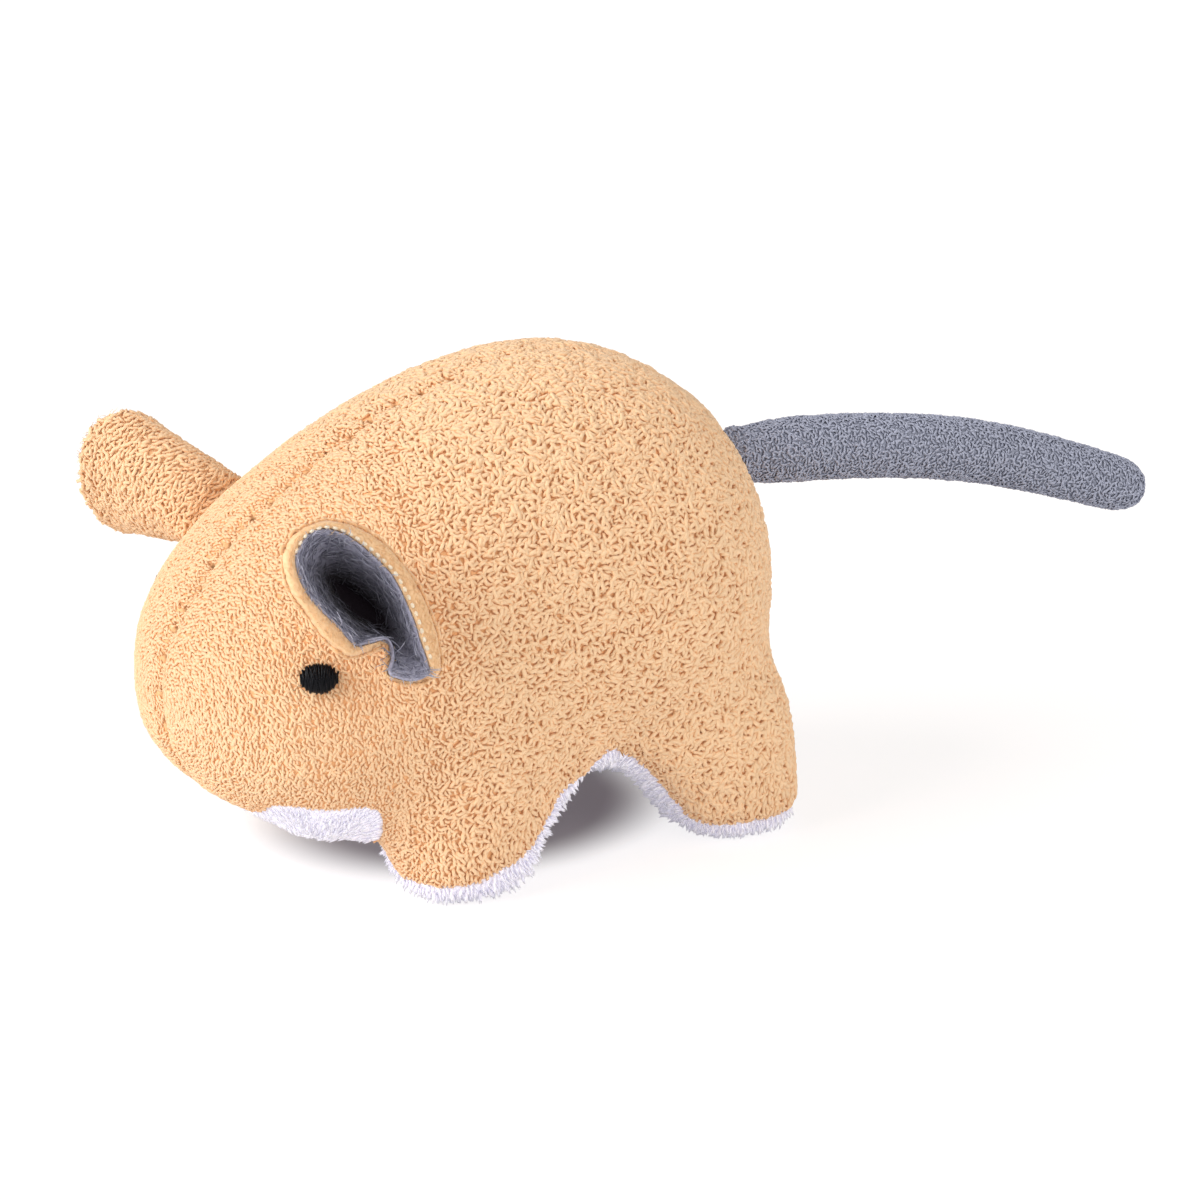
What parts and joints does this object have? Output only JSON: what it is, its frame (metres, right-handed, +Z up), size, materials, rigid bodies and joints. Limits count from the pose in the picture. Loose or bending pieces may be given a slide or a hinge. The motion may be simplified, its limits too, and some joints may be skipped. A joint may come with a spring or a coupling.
{
  "type": "catnip mouse",
  "caption": "Stuffed terry-cloth toy mouse with a plush belly, cupped lined ears, embroidered eyes and a stuffed fleece tail, filled with catnip for a cat to bat and chew.",
  "frame": {"origin": "on the floor under the middle of the whole mouse, nose to tail tip", "axes": "+X towards the nose, +Y to the mouse's left, +Z up"},
  "size_m": [0.1688, 0.0786, 0.0722],
  "materials": {
    "tan_terry": "looped terry",
    "white_plush": "short plush",
    "grey_fleece": "fleece",
    "black_thread": "satin stitch",
    "fibre_filling": "loose fibre",
    "catnip": "dried herb in cloth",
    "seam_thread": "sewing thread"
  },
  "bodies": {
    "torso": {"left_side_panel": "tan_terry", "right_side_panel": "tan_terry", "belly_panel": "white_plush", "back_seam_thread": "seam_thread", "belly_seam_thread": "seam_thread", "head_stuffing": "fibre_filling", "body_stuffing": "fibre_filling", "catnip_pouch": "catnip", "front_left_leg_stuffing": "fibre_filling", "front_right_leg_stuffing": "fibre_filling", "rear_left_leg_stuffing": "fibre_filling", "rear_right_leg_stuffing": "fibre_filling", "left_eye": "black_thread", "right_eye": "black_thread"},
    "left_ear": {"left_ear_shell": "tan_terry", "left_ear_lining": "grey_fleece", "left_ear_rim_stitch": "seam_thread"},
    "right_ear": {"right_ear_shell": "tan_terry", "right_ear_lining": "grey_fleece", "right_ear_rim_stitch": "seam_thread"},
    "tail_root": {"tail_root_gather": "grey_fleece"},
    "tail": {"tail_sleeve": "grey_fleece", "tail_stuffing": "fibre_filling"}
  },
  "joints": [
    {"name": "left_ear_flap", "type": "hinge", "parent": "torso", "child": "left_ear", "pos_m": [0.06428, 0.02479, 0.04875], "axis": [0.4849, -0.6064, 0.6302], "range_deg": [-22, 22], "stiffness_Nm_per_rad": 0.001},
    {"name": "right_ear_flap", "type": "hinge", "parent": "torso", "child": "right_ear", "pos_m": [0.06428, -0.02479, 0.04875], "axis": [-0.4849, -0.6064, -0.6302], "range_deg": [-22, 22], "stiffness_Nm_per_rad": 0.001},
    {"name": "tail_lift", "type": "hinge", "parent": "torso", "child": "tail_root", "pos_m": [-0.01055, 0, 0.05038], "axis": [0, 1, 0], "range_deg": [-35, 35], "stiffness_Nm_per_rad": 0.02},
    {"name": "tail_swing", "type": "hinge", "parent": "tail_root", "child": "tail", "pos_m": [-0.01055, 0, 0.05038], "axis": [0, 0, 1], "range_deg": [-35, 35], "stiffness_Nm_per_rad": 0.02}
  ]
}
